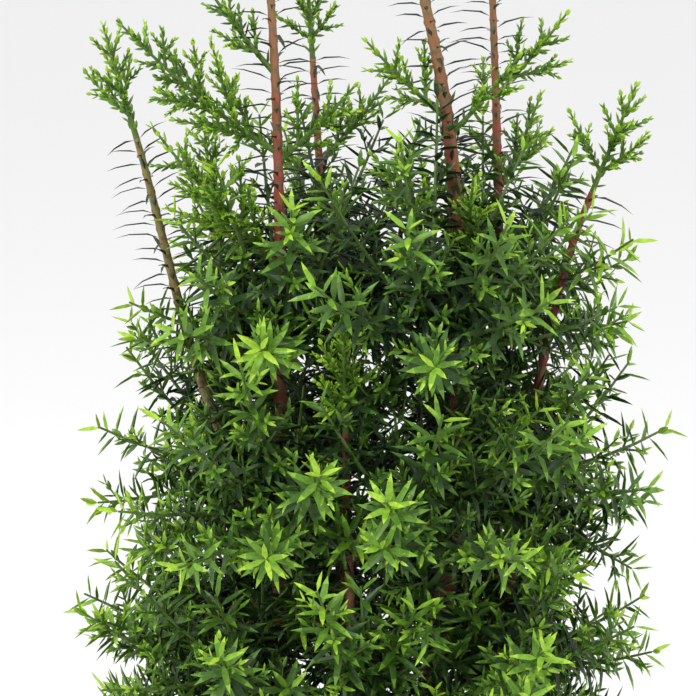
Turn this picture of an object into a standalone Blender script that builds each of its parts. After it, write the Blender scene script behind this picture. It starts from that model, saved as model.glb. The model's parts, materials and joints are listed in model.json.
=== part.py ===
"""A young Atlantic white cedar in its needle-like juvenile foliage, rooted in the ground.

One slender trunk runs from a flat cut at the ground to the top. Seven boughs leave it and rise beside it.
The lower crown is a dense body, and bare reddish leaders stand out of its top with open sprays on them.
Units are metres, +Z is up, the view of the front looks along +Y, and the origin is the centre of the cut.
"""

import math
import random
from collections import namedtuple

import bmesh
import bpy
import numpy as np
from mathutils import Quaternion, Vector

# Overall sizes
CLEARANCE = 0.0003  # what separate solids keep between them
GROWTH_SEED = 11

# The dense body of the crown: an upright, blunt egg that leans a little to the right
BODY_MIDDLE = 0.130
BODY_HALF_HEIGHT = 0.170
BODY_RADIUS = 0.078
BODY_BLUNTNESS = 2.6
BODY_LEAN = 0.010
BODY_FLOOR = 0.012  # lowest foliage above the ground
BODY_TOP = 0.285

# Trunk: centre line from the cut to where the top shoot begins
TRUNK_BENDS = (
    (0.000, 0.000, 0.000),
    (0.002, -0.001, 0.030),
    (0.017, -0.004, 0.120),
    (0.0245, -0.007, 0.208),
    (0.0215, -0.008, 0.272),
    (0.0140, -0.009, 0.312),
    (0.0080, -0.010, 0.336),
)
TRUNK_RADIUS = 0.0048
TRUNK_TIP_RADIUS = 0.0008
TRUNK_JOINTS = 16
FLARE_RADIUS = 0.0034  # added at the ground, where the roots spread
FLARE_HEIGHT = 0.010
FLARE_LOBES = (3, 5)  # two waves round the foot, which together set its uneven ridges
FLARE_LOBE_DEPTH = 0.10

# Boughs: the limb each leaves, the height there, the knee, the upper end and the foot's radius
Bough = namedtuple("Bough", "parent height knee end radius")
BOUGHS = {
    "bough_left": Bough("trunk", 0.050, (-0.0140, -0.014, 0.200), (-0.0245, -0.014, 0.324), 0.0027),
    "bough_right": Bough("trunk", 0.085, (0.0400, 0.024, 0.180), (0.0335, 0.030, 0.314), 0.0025),
    "bough_back": Bough("trunk", 0.064, (-0.0060, 0.036, 0.170), (-0.0140, 0.042, 0.290), 0.0025),
    "bough_back_left": Bough("trunk", 0.036, (-0.0330, 0.026, 0.150), (-0.0410, 0.034, 0.246), 0.0024),
    "bough_front": Bough("trunk", 0.058, (-0.0030, -0.034, 0.120), (-0.0050, -0.040, 0.206), 0.0021),
    "bough_right_side": Bough("trunk", 0.112, (0.0350, 0.004, 0.200), (0.0580, -0.002, 0.260), 0.0022),
    "bough_left_side": Bough("bough_left", 0.186, (-0.0480, -0.008, 0.240), (-0.0580, -0.004, 0.274), 0.0016),
}
BOUGH_TIP_RADIUS = 0.0008
COLLAR = 0.0015  # straight first piece of every branch, which keeps its flat foot off the parent
BOUGH_JOINTS = 10

# Dense masses stand in rings round the body: height, how many, distance from the middle, first azimuth
Ring = namedtuple("Ring", "level height count distance first")
RINGS = (
    Ring("low", 0.046, 6, 0.041, 256),
    Ring("lower_middle", 0.091, 7, 0.046, 244),
    Ring("upper_middle", 0.138, 7, 0.046, 270),
    Ring("upper", 0.185, 6, 0.043, 290),
    Ring("shoulder", 0.228, 4, 0.036, 203),
)
CORE_RADIUS = 0.0150
CORE_HALF_LENGTH = 0.0210
CORE_RISE = 60  # how far above level the core's long axis points outwards
CORE_UNEVENNESS = 0.24
CORE_DETAIL = 2
CORE_SMALLEST = 0.0045
CORE_TRIMS = 14
CENTRE_GAP = 0.0065  # from the centre of a dense mass to the nearest limb
FACE_GRID = [(a / 4, b / 4, 1 - (a + b) / 4) for a in range(5) for b in range(5 - a)]  # corner shares
SUNK_START = 0.0035  # how far from the centre a dense mass's shoots start
SUNK_JOINT = 0.0095  # their first joint, which lies inside the core
DENSE_SHOOTS = 6
DENSE_CAP = 80  # half angle, in degrees, of the cone that a dense mass's shoots fill
DENSE_TILT = 32  # how far above level that cone looks

# Open sprays on the bare upper limbs: limb, height, azimuth, reach, rise above level in degrees
Spray = namedtuple("Spray", "limb height azimuth reach rise")
SPRAYS = {
    "spray_left_low": Spray("bough_left", 0.244, 196, 0.042, 42),
    "spray_left_long": Spray("bough_left", 0.272, 182, 0.046, 32),
    "spray_left_high": Spray("bough_left", 0.292, 172, 0.026, 48),
    "spray_left_inner": Spray("bough_left", 0.270, 340, 0.026, 40),
    "spray_middle_low": Spray("trunk", 0.250, 205, 0.030, 38),
    "spray_middle_high": Spray("trunk", 0.280, 186, 0.026, 40),
    "spray_front": Spray("trunk", 0.236, 275, 0.034, 52),
    "spray_middle_right": Spray("trunk", 0.276, 352, 0.026, 46),
    "spray_right_low": Spray("bough_right", 0.256, 60, 0.032, 38),
    "spray_right_high": Spray("bough_right", 0.282, 358, 0.026, 46),
    "spray_back_low": Spray("bough_back", 0.242, 120, 0.030, 40),
    "spray_back_high": Spray("bough_back", 0.262, 20, 0.028, 44),
}
TIP_SHOOT = 0.030  # length of the green shoot that ends each limb

# Growth rule of a shoot: joints with needles in pairs, each pair square to the last
JOINT = 0.0067
ROOT_RADIUS = 0.00095
SHOOT_TIP_RADIUS = 0.00030
STEM_RADIUS = 0.0012
NEEDLE = 0.0115
NEEDLE_TRIES = (1, 0.8, 0.6)  # shares of its length that a needle may be cut to, to stay in its space
NEEDLE_SPREAD = 52  # angle between needle and shoot, in degrees
LIFT = 0.45  # how far a shoot bends upwards over its length
LONGEST_SHOOT = 0.034
SIDE_ANGLE = 50
SIDE_STEP = 2  # joints between side shoots on an open spray
SIDE_STAGGER = 0.12  # how far, in joints, each of a pair sits from the middle

Limb = namedtuple("Limb", "name points radii")
Mass = namedtuple("Mass", "name centre stem dense")
UP = Vector((0, 0, 1))


def clear_scene():
    """Removes the objects of the scene that the script starts in."""
    for obj in list(bpy.data.objects):
        bpy.data.objects.remove(obj)


def make_material(name, colour, roughness):
    """A Principled BSDF of one colour."""
    material = bpy.data.materials.new(name)
    material.use_nodes = True
    shader = material.node_tree.nodes["Principled BSDF"]
    shader.inputs["Base Color"].default_value = (*colour, 1)
    shader.inputs["Roughness"].default_value = roughness
    shader.inputs["Metallic"].default_value = 0
    return material


def heading(azimuth):
    """The level unit vector at an azimuth in degrees, counted from +X towards +Y."""
    turn = math.radians(azimuth)
    return Vector((math.cos(turn), math.sin(turn), 0))


# The body's outline
def body_radius(height):
    """Half width of the dense body at a height: a superellipse over its half height."""
    share = np.minimum(1, abs(height - BODY_MIDDLE) / BODY_HALF_HEIGHT)
    return BODY_RADIUS * (1 - share**BODY_BLUNTNESS) ** (1 / 2.2)


def body_centre(height):
    """Middle of the body at a height, leaning to the right with height."""
    return Vector((BODY_LEAN * (height - BODY_MIDDLE) / BODY_HALF_HEIGHT, 0, height))


def outward(place, rise):
    """The unit vector that points away from the body's middle line at a place, some degrees above level."""
    level = (place - body_centre(place.z)).normalized()
    return level * math.cos(math.radians(rise)) + UP * math.sin(math.radians(rise))


def in_body(points):
    """For each row of an array of points, whether it lies within the body's outline."""
    x, y, z = points.T
    across = np.hypot(x - BODY_LEAN * (z - BODY_MIDDLE) / BODY_HALF_HEIGHT, y)
    return (z > BODY_FLOOR) & (z < BODY_TOP) & (across < body_radius(z))


# Centre lines
def through(bends, count):
    """Points of a smooth curve through the bends: Catmull-Rom pieces, evenly spaced in their parameter."""
    bends = [Vector(bend) for bend in bends]
    padded = [2 * bends[0] - bends[1], *bends, 2 * bends[-1] - bends[-2]]
    points = []
    for step in range(count + 1):
        place = step / count * (len(bends) - 1)
        first = min(int(place), len(bends) - 2)
        t = place - first
        a, b, c, d = padded[first : first + 4]
        points.append(
            0.5 * (2 * b + (c - a) * t + (2 * a - 5 * b + 4 * c - d) * t**2 + (3 * b - a - 3 * c + d) * t**3)
        )
    return points


def bezier(a, b, c, d, count):
    """Points of a cubic Bezier curve."""
    points = []
    for step in range(count + 1):
        t = step / count
        points.append((1 - t) ** 3 * a + 3 * (1 - t) ** 2 * t * b + 3 * (1 - t) * t**2 * c + t**3 * d)
    return points


def tapered(foot, tip, count):
    """Radii from foot to tip, thinning a little faster near the tip."""
    return [tip + (foot - tip) * (1 - step / count) ** 0.8 for step in range(count + 1)]


def at_height(limb, height):
    """Centre and radius of a limb at a height."""
    for step in range(len(limb.points) - 1):
        low, high = limb.points[step], limb.points[step + 1]
        if low.z <= height <= high.z:
            t = (height - low.z) / (high.z - low.z)
            return low.lerp(high, t), limb.radii[step] * (1 - t) + limb.radii[step + 1] * t
    return limb.points[-1], limb.radii[-1]


def foot_on(limb, height, towards):
    """Where a branch starts beside a limb, and its first direction: square to the limb, so its foot is clear."""
    centre, radius = at_height(limb, height)
    above, _ = at_height(limb, height + 0.003)
    grain = (above - centre).normalized()
    out = (towards - grain * towards.dot(grain)).normalized()
    return centre + out * (radius + CLEARANCE), out


def trunk_limb():
    """The trunk's centre line and radii, wider where it meets the ground."""
    points = through(TRUNK_BENDS, TRUNK_JOINTS)
    points.insert(1, Vector((0, 0, 0.0030)))
    points.insert(2, Vector((0, 0, 0.0065)))
    taper = tapered(TRUNK_RADIUS, TRUNK_TIP_RADIUS, len(points) - 1)
    flare = [FLARE_RADIUS * math.exp(-3 * point.z / FLARE_HEIGHT) for point in points]
    return Limb("trunk", points, [r + f for r, f in zip(taper, flare)])


def bough_limb(name, bough, limbs):
    """A bough leaves its parent level, turns up at its knee and rises to its end."""
    parent, knee = limbs[bough.parent], Vector(bough.knee)
    centre, _ = at_height(parent, bough.height)
    foot, out = foot_on(parent, bough.height, Vector((knee.x - centre.x, knee.y - centre.y, 0)))
    collar = foot + out * COLLAR
    turn_up = foot + out * 0.30 * (knee - foot).length
    points = [foot, *bezier(collar, turn_up, knee, Vector(bough.end), BOUGH_JOINTS)]
    return Limb(name, points, tapered(bough.radius, BOUGH_TIP_RADIUS, BOUGH_JOINTS + 1))


# Keeping clear
class Obstacles:
    """Round limbs and stems that foliage keeps off, as tapering pieces between points."""

    def __init__(self):
        self.pieces = {}

    def add(self, name, points, radii):
        thick = [max(pair) for pair in zip(radii, radii[1:])]
        self.pieces[name] = (np.array(points[:-1]), np.array(points[1:]), np.array(thick))

    def but(self, name):
        """Starts, ends and radii of every piece except those of one name."""
        kept = [piece for other, piece in self.pieces.items() if other != name]
        return [np.concatenate(column) for column in zip(*kept)]


def gaps(points, starts, ends, radii):
    """For each point, the least distance to the surface of a round piece."""
    along = ends - starts
    to_point = points[:, None] - starts
    share = np.clip((to_point * along).sum(2) / (along**2).sum(1), 0, 1)
    return (np.linalg.norm(to_point - share[..., None] * along, axis=2) - radii).min(1)


class Space:
    """Where one mass may grow: nearer to it than to any other, in the body if dense, off every limb."""

    def __init__(self, mass, masses, obstacles):
        self.dense, self.pieces = mass.dense, obstacles.but(mass.name)
        centre = np.array(mass.centre)
        others = np.array([other.centre for other in masses if other is not mass])
        apart = others - centre
        self.normals = apart / np.linalg.norm(apart, axis=1)[:, None]
        self.limits = (self.normals * (others + centre) / 2).sum(1) - CLEARANCE

    def inside(self, points, radii):
        """For each point, whether a ball of its radius about it lies in the space."""
        points, radii = np.array(points), np.array(radii)
        kept = (points @ self.normals.T + radii[:, None] < self.limits).all(1)
        kept &= gaps(points, *self.pieces) - radii > CLEARANCE
        if self.dense:
            kept &= in_body(points)
        return kept

    def holds(self, root, tip, root_radius, tip_radius, steps=10):
        """Whether a straight tapering piece lies in it."""
        shares = [step / steps for step in range(steps + 1)]
        radii = [root_radius + (tip_radius - root_radius) * t for t in shares]
        return self.inside([root.lerp(tip, t) for t in shares], radii).all()


# Shoots
def frames(points, roll):
    """For each point, the rotation that carries +Z onto the curve there, turning no more than it must."""
    ahead = (points[1] - points[0]).normalized()
    turn = Quaternion(ahead, roll) @ ahead.to_track_quat("Z", "Y")
    turns = []
    for step in range(len(points)):
        last, following = points[max(step - 1, 0)], points[min(step + 1, len(points) - 1)]
        tangent = (following - last).normalized()
        turn = ahead.rotation_difference(tangent) @ turn
        ahead = tangent
        turns.append(turn)
    return turns


def rod(points, radii, space, bare, roll):
    """A four-sided twig along the points whose side faces rise into needles.

    A pair of opposite faces bears needles at each joint, and the next pair is square to it. The end face
    rises into a bud. Joints below `bare` have none, and what would leave the mass's space is left out.
    """
    joints = len(points) - 1
    turns = frames(points, roll)
    mesh = bmesh.new()
    bmesh.ops.create_cone(mesh, cap_ends=True, segments=4, radius1=1, radius2=1, depth=joints)
    bmesh.ops.translate(mesh, vec=(0, 0, joints / 2), verts=mesh.verts)
    if joints > 1:
        lengthwise = [e for e in mesh.edges if abs(e.verts[0].co.z - e.verts[1].co.z) > 0.5]
        bmesh.ops.subdivide_edges(mesh, edges=lengthwise, cuts=joints - 1)
    spread = math.radians(NEEDLE_SPREAD)
    needles = []
    for face in mesh.faces:
        middle = face.calc_center_median()
        joint = int(middle.z)
        side = round((math.degrees(math.atan2(middle.y, middle.x)) - 45) / 90)
        if joint == joints:
            tip = points[-1] + (points[-1] - points[-2]).normalized() * NEEDLE / 2
            if space.holds(points[-1], tip, radii[-1], 0):
                needles.append((face, tip))
        if abs(face.normal.z) > 0.5 or joint < bare or (joint + side) % 2:
            continue
        out = turns[joint] @ Vector((middle.x, middle.y, 0)).normalized()
        root = (points[joint] + points[joint + 1]) / 2
        ahead = (points[joint + 1] - points[joint]).normalized()
        reach = (out * math.sin(spread) + ahead * math.cos(spread)) * NEEDLE * (1 - 0.25 * joint / joints)
        ends = (points[joint], root, points[joint + 1])
        for share in NEEDLE_TRIES:
            tip = root + reach * share
            if all(space.holds(end, tip, radii[joint], 0) for end in ends):
                needles.append((face, tip))
                break
    for vertex in mesh.verts:
        step = round(vertex.co.z)
        across = Vector((vertex.co.x, vertex.co.y, 0)) * radii[step]
        vertex.co = points[step] + turns[step] @ across
    for face, tip in needles:
        raised = bmesh.ops.poke(mesh, faces=[face])
        raised["verts"][0].co = tip
    return mesh


def grow(start, direction, longest, radius, first_joint, space):
    """A shoot's centre line: straight out at first, bending upwards, as far as its space lets it go."""
    points, run, step = [start], 0, first_joint
    while run + step <= longest:
        for share in (1, 0.5):
            way = run + share * step
            point = start + direction * way + UP * LIFT * way**2 / LONGEST_SHOOT
            if space.holds(points[-1], point, radius, radius, 4):
                points.append(point)
                break
        else:
            break
        if share < 1:
            break
        run, step = way, JOINT
    return points


def shoot_radii(root, count):
    """Radii of a shoot, thin at its tip."""
    return [root + (SHOOT_TIP_RADIUS - root) * step / (count - 1) for step in range(count)]


def cap_directions(axis, count, half_angle):
    """Directions spread evenly over a cap round the axis, by the golden angle."""
    side = axis.cross(UP).normalized()
    over = side.cross(axis)
    lowest = math.cos(math.radians(half_angle))
    directions = []
    for i in range(count):
        rise = 1 - (1 - lowest) * (i + 0.5) / count
        turn = i * math.pi * (3 - math.sqrt(5))
        flat = math.sqrt(1 - rise * rise)
        directions.append(axis * rise + side * flat * math.cos(turn) + over * flat * math.sin(turn))
    return directions


# Masses
def place_dense(ring, index, limbs, obstacles):
    """One mass of the dense body: its centre, and a stem to it from the nearest limb with a free way.

    The centre keeps its place in the ring, or moves round by the least turn that brings it off the limbs.
    """
    name = f"foliage_{ring.level}_{index + 1}"
    middle = body_centre(ring.height)
    centre = middle
    for turn in (0, 5, -5, 10, -10, 15, -15, 20, -20):
        centre = middle + heading(ring.first + 360 * index / ring.count + turn) * ring.distance
        if gaps(np.array([centre]), *obstacles.but(name)).min() > CENTRE_GAP:
            break
    ways = []
    for limb in limbs.values():
        for drop in (0.012, 0.018, 0.024, 0.030, 0.036):
            height = max(0.016, centre.z - drop)
            foot, _ = at_height(limb, height)
            if abs(foot.z - height) < 0.002:
                ways.append(((centre - foot).length, limb, height))
    for _, limb, height in sorted(ways, key=lambda way: way[0]):
        axis, _ = at_height(limb, height)
        foot, out = foot_on(limb, height, Vector((centre.x - axis.x, centre.y - axis.y, 0)))
        knee = foot + out * 0.5 * (centre - foot).length
        stem = [foot, *bezier(foot + out * COLLAR, knee, centre.lerp(knee, 0.3), centre, 3)]
        way = [a.lerp(b, t / 6) for a, b in zip(stem, stem[1:]) for t in range(6)]
        way = np.array([place for place in way if (place - foot).length > 2 * STEM_RADIUS])
        if gaps(way, *obstacles.but(name)).min() > STEM_RADIUS + 2 * CLEARANCE:
            return Mass(name, centre, stem, True)
    raise ValueError(f"{name}: no limb has a free way to it")


def place_spray(name, spray, limbs):
    """One open spray: a stem that leaves its limb level and rises to its tip."""
    level = heading(spray.azimuth)
    foot, out = foot_on(limbs[spray.limb], spray.height, level)
    rise = math.radians(spray.rise)
    tip = foot + (level * math.cos(rise) + UP * math.sin(rise)) * spray.reach
    count = round(spray.reach / JOINT)
    turn_up = foot + out * 0.3 * spray.reach
    stem = [foot, *bezier(foot + out * COLLAR, turn_up, foot.lerp(tip, 0.7) + level * 0.002, tip, count)]
    return Mass(name, foot.lerp(tip, 0.6), stem, False)


def place_tip(limb):
    """The green shoot that carries a limb on to its tip."""
    ahead = (limb.points[-1] - limb.points[-2]).normalized()
    start = limb.points[-1] + ahead * CLEARANCE
    count = round(TIP_SHOOT / JOINT)
    stem = [start + ahead * TIP_SHOOT * step / count for step in range(count + 1)]
    return Mass(f"tip_{limb.name}", start + ahead * 0.6 * TIP_SHOOT, stem, False)


def core_of(mass, rng, space):
    """The dense inner part of a mass: a lumpy egg, pulled in where a face would leave the mass's space."""
    mesh = bmesh.new()
    bmesh.ops.create_icosphere(mesh, subdivisions=CORE_DETAIL, radius=1)
    lean = outward(mass.centre, CORE_RISE).to_track_quat("Z", "Y")
    for vertex in mesh.verts:
        lump = 1 + CORE_UNEVENNESS * (2 * rng.random() - 1)
        across, along = CORE_RADIUS * lump, CORE_HALF_LENGTH * lump
        vertex.co = mass.centre + lean @ Vector(
            (vertex.co.x * across, vertex.co.y * across, vertex.co.z * along)
        )
    for _ in range(CORE_TRIMS):
        corners = np.array([[vertex.co for vertex in face.verts] for face in mesh.faces])
        places = np.einsum("gc,fcx->fgx", FACE_GRID, corners).reshape(-1, 3)
        kept = space.inside(places, np.zeros(len(places))).reshape(len(mesh.faces), -1).all(1)
        outside = {vertex for face, good in zip(mesh.faces, kept) if not good for vertex in face.verts}
        for vertex in outside:
            if (vertex.co - mass.centre).length > CORE_SMALLEST:
                vertex.co = mass.centre.lerp(vertex.co, 0.92)
    return mesh


def shoots_of(mass, rng, space):
    """The forms of one mass before they are joined: stem, core and shoots."""
    count = len(mass.stem)
    if mass.dense:
        yield rod(mass.stem, [STEM_RADIUS] * count, space, bare=count, roll=rng.random())
        yield core_of(mass, rng, space)
        axis = outward(mass.centre, DENSE_TILT)
        first_joint, starts = SUNK_JOINT, []
        for direction in cap_directions(axis, DENSE_SHOOTS, DENSE_CAP):
            start = mass.centre + direction * SUNK_START
            starts.append((start, direction, LONGEST_SHOOT, ROOT_RADIUS))
    else:
        radii = shoot_radii(STEM_RADIUS, count)
        yield rod(mass.stem, radii, space, bare=1, roll=rng.random())
        first_joint, starts = JOINT, []
        for joint in range(1, count - 1, SIDE_STEP):
            ahead = (mass.stem[joint + 1] - mass.stem[joint]).normalized()
            across = ahead.cross(UP)
            if across.length < 0.3:
                across = heading(360 * rng.random())
            length = 0.55 * (count - joint) * JOINT + JOINT
            for side in (1, -1):
                lean = math.radians(SIDE_ANGLE)
                out = ahead * math.cos(lean) + across.normalized() * side * math.sin(lean)
                start = mass.stem[joint] + ahead * side * SIDE_STAGGER * JOINT
                starts.append((start, out, length, 0.7 * radii[joint]))
    for start, direction, longest, radius in starts:
        points = grow(start, direction, longest, radius, first_joint, space)
        if len(points) > 2:
            yield rod(points, shoot_radii(radius, len(points)), space, bare=1, roll=rng.random())


def as_object(name, mesh, collection):
    """A mesh object from a closed bmesh, its faces outward."""
    data = bpy.data.meshes.new(name)
    if mesh.calc_volume(signed=True) < 0:
        bmesh.ops.reverse_faces(mesh, faces=mesh.faces)
    mesh.to_mesh(data)
    mesh.free()
    obj = bpy.data.objects.new(name, data)
    collection.objects.link(obj)
    return obj


def keep_main_shell(mesh):
    """Deletes loose scraps and the walls of sealed hollows, which leaves the largest shell alone."""
    unseen, shells = set(mesh.verts), []
    while unseen:
        edge_of_search = [unseen.pop()]
        shell = set(edge_of_search)
        while edge_of_search:
            vertex = edge_of_search.pop()
            for edge in vertex.link_edges:
                other = edge.other_vert(vertex)
                if other in unseen:
                    unseen.remove(other)
                    shell.add(other)
                    edge_of_search.append(other)
        shells.append(shell)
    shells.sort(key=len, reverse=True)
    for shell in shells[1:]:
        bmesh.ops.delete(mesh, geom=list(shell), context="VERTS")


def join_mass(name, forms, material, plant):
    """Joins the forms of a mass into one closed solid with one Boolean union on their collection."""
    parts = bpy.data.collections.new(f"{name}_forms")
    bpy.context.scene.collection.children.link(parts)
    first = as_object(name, forms[0], plant)
    for index, form in enumerate(forms[1:]):
        as_object(f"{name}_form_{index}", form, parts)
    union = first.modifiers.new("union", "BOOLEAN")
    union.operation = "UNION"
    union.solver = "MANIFOLD"
    union.operand_type = "COLLECTION"
    union.collection = parts
    bpy.context.view_layer.update()
    graph = bpy.context.evaluated_depsgraph_get()
    joined = bmesh.new()
    joined.from_mesh(first.evaluated_get(graph).to_mesh())
    keep_main_shell(joined)
    bmesh.ops.triangulate(joined, faces=joined.faces)
    first.modifiers.clear()
    joined.to_mesh(first.data)
    joined.free()
    for obj in list(parts.objects):
        bpy.data.objects.remove(obj)
    bpy.data.collections.remove(parts)
    first.data.materials.append(material)
    return first


def limb_object(limb, sides_resolution, material, plant):
    """A limb as a round tube along its centre line, its caps welded on."""
    curve = bpy.data.curves.new(limb.name, "CURVE")
    curve.dimensions = "3D"
    curve.bevel_depth = 1
    curve.bevel_resolution = sides_resolution
    curve.use_fill_caps = True
    spline = curve.splines.new("POLY")
    spline.points.add(len(limb.points) - 1)
    for point, place, radius in zip(spline.points, limb.points, limb.radii):
        point.co = (*place, 1)
        point.radius = radius
    guide = bpy.data.objects.new(f"{limb.name}_line", curve)
    plant.objects.link(guide)
    bpy.context.view_layer.update()
    graph = bpy.context.evaluated_depsgraph_get()
    mesh = bpy.data.meshes.new_from_object(guide.evaluated_get(graph))
    bpy.data.objects.remove(guide)
    form = bmesh.new()
    form.from_mesh(mesh)
    bmesh.ops.remove_doubles(form, verts=form.verts, dist=1e-6)
    bmesh.ops.recalc_face_normals(form, faces=form.faces)
    obj = as_object(limb.name, form, plant)
    obj.data.materials.append(material)
    return obj


def spread_roots(trunk):
    """Pushes the foot of the trunk out into low ridges where its roots spread."""
    for vertex in trunk.data.vertices:
        fade = math.exp(-3 * vertex.co.z / FLARE_HEIGHT)
        angle = math.atan2(vertex.co.y, vertex.co.x)
        waves = sum(math.cos(lobes * angle + lobes) for lobes in FLARE_LOBES)
        if vertex.co.z < 3 * FLARE_HEIGHT:
            vertex.co.x *= 1 + FLARE_LOBE_DEPTH * fade * waves
            vertex.co.y *= 1 + FLARE_LOBE_DEPTH * fade * waves


def main():
    """Builds the limbs, places the masses and grows each in its own space."""
    clear_scene()
    plant = bpy.data.collections.new("atlantic_white_cedar")
    bpy.context.scene.collection.children.link(plant)
    bark = make_material("bark", (0.16, 0.06, 0.035), 0.75)
    dense_green = make_material("dense_foliage", (0.035, 0.105, 0.02), 0.5)
    young_green = make_material("young_foliage", (0.10, 0.24, 0.03), 0.5)

    limbs = {"trunk": trunk_limb()}
    for name, bough in BOUGHS.items():
        limbs[name] = bough_limb(name, bough, limbs)
    obstacles = Obstacles()
    for limb in limbs.values():
        obstacles.add(limb.name, limb.points, limb.radii)
        piece = limb_object(limb, 3 if limb.name == "trunk" else 1, bark, plant)
        if limb.name == "trunk":
            spread_roots(piece)

    masses = [place_spray(name, spray, limbs) for name, spray in SPRAYS.items()]
    masses += [place_tip(limb) for limb in limbs.values()]
    for mass in masses:
        obstacles.add(mass.name, mass.stem, shoot_radii(STEM_RADIUS, len(mass.stem)))
    for ring in RINGS:
        for index in range(ring.count):
            mass = place_dense(ring, index, limbs, obstacles)
            obstacles.add(mass.name, mass.stem, [STEM_RADIUS] * len(mass.stem))
            masses.append(mass)

    for number, mass in enumerate(masses):
        space = Space(mass, masses, obstacles)
        rng = random.Random(GROWTH_SEED + number)
        forms = list(shoots_of(mass, rng, space))
        join_mass(mass.name, forms, dense_green if mass.dense else young_green, plant)


main()
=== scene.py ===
# %% [markdown]
# # A young Atlantic white cedar
# The plant stands rooted in the ground. A trunk and seven boughs carry a dense leafy body, and reddish
# leaders with open sprays rise out of it. The solids of the frame hold its shape for physics. This
# lesson grows the twigs, leaves and bark around them by the same rule that grew the solids, only finer.

# %% Load the frame
import json
import math

import bpy
import numpy as np
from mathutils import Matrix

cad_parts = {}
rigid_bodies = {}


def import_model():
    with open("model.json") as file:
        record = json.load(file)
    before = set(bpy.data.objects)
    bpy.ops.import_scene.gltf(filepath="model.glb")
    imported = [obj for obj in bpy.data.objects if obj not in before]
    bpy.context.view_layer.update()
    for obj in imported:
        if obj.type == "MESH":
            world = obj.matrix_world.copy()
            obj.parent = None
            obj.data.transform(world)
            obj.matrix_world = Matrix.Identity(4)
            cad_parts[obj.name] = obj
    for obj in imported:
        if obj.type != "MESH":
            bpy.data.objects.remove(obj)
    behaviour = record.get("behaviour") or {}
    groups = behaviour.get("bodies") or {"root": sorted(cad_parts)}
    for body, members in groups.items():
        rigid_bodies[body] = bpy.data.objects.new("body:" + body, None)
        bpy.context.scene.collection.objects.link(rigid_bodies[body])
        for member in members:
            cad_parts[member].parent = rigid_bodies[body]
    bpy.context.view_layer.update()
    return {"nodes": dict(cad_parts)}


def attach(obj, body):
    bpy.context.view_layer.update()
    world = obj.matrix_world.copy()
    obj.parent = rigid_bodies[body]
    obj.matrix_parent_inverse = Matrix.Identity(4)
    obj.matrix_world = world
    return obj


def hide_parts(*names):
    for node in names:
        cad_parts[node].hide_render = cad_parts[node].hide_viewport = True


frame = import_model()
print("nodes in the frame:", len(frame["nodes"]))

# %% [markdown]
# ## Where the limbs run
# A limb is a middle line with a radius at every point. The trunk's line passes smoothly through all of
# its bends. A bough leaves its parent level and turns upright, which four control points describe. The
# same line could be drawn by hand as a curve object, but as an array it also tells every twig where to
# start. These are the numbers of the solids, so the looks stay where the solids are. Only the trunk is
# slimmer above the body.

# %% Limb tables
TRUNK_BENDS = [
    (0.000, 0.000, 0.000), (0.002, -0.001, 0.030), (0.017, -0.004, 0.120), (0.0245, -0.007, 0.208),
    (0.0215, -0.008, 0.272), (0.0140, -0.009, 0.312), (0.0080, -0.010, 0.336),
]
BOUGHS = {  # parent, height on it, knee, upper end, radius of the foot
    "bough_left": ("trunk", 0.050, (-0.0140, -0.014, 0.200), (-0.0245, -0.014, 0.324), 0.0027),
    "bough_right": ("trunk", 0.085, (0.0400, 0.024, 0.180), (0.0335, 0.030, 0.314), 0.0025),
    "bough_back": ("trunk", 0.064, (-0.0060, 0.036, 0.170), (-0.0140, 0.042, 0.290), 0.0025),
    "bough_back_left": ("trunk", 0.036, (-0.0330, 0.026, 0.150), (-0.0410, 0.034, 0.246), 0.0024),
    "bough_front": ("trunk", 0.058, (-0.0030, -0.034, 0.120), (-0.0050, -0.040, 0.206), 0.0021),
    "bough_right_side": ("trunk", 0.112, (0.0350, 0.004, 0.200), (0.0580, -0.002, 0.260), 0.0022),
    "bough_left_side": ("bough_left", 0.186, (-0.0480, -0.008, 0.240), (-0.0580, -0.004, 0.274), 0.0016),
}
TRUNK_RADIUS, LIMB_TIP_RADIUS, THINNING = 0.0048, 0.0008, 0.8
TRUNK_SLIMMER = 0.34  # share taken off the trunk's radius
SLIM_FROM, SLIM_TO = 0.10, 0.23  # heights between which the share grows to its full size
FLARE_RADIUS, FLARE_HEIGHT, FLARE_FALL = 0.0034, 0.010, 3
FOOT_SHIFT, TURN_UP = 0.4, 0.30  # where a bough starts in its parent, and how far out it turns up
TRUNK_RINGS, BOUGH_RINGS = 800, 480


# %% Middle lines as whole arrays
def unit(vectors):
    """Each vector divided by its own length."""
    return vectors / np.linalg.norm(vectors, axis=-1, keepdims=True)


def through(bends, count):
    """A smooth line through all bends: each span is the cubic fixed by its two ends and their two
    neighbours."""
    bends = np.array(bends, float)
    padded = np.vstack((2 * bends[0] - bends[1], bends, 2 * bends[-1] - bends[-2]))
    along = np.linspace(0, len(bends) - 1, count)
    first = np.minimum(along.astype(int), len(bends) - 2)
    t = (along - first)[:, None]
    a, b, c, d = (padded[first + k] for k in range(4))
    square, cube = 2 * a - 5 * b + 4 * c - d, 3 * b - a - 3 * c + d
    return 0.5 * (2 * b + (c - a) * t + square * t**2 + cube * t**3)


def pulled(a, b, c, d, count):
    """A cubic from a to d pulled towards b and c: the four points are weighted by the terms of ((1 - t)
    + t) to the third power."""
    t = np.linspace(0, 1, count)[:, None]
    return (1 - t) ** 3 * a + 3 * (1 - t) ** 2 * t * b + 3 * (1 - t) * t**2 * c + t**3 * d


def tapered(foot, tip, count):
    """The tip's radius, plus the rest times the share of the way left to a power just below one."""
    return tip + (foot - tip) * (1 - np.linspace(0, 1, count)) ** THINNING


def at_height(limb, height):
    """Centre and radius of a limb at a height, by straight interpolation along Z."""
    points, radii = limb
    centre = np.array([np.interp(height, points[:, 2], points[:, axis]) for axis in range(3)])
    return centre, np.interp(height, points[:, 2], radii)


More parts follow.
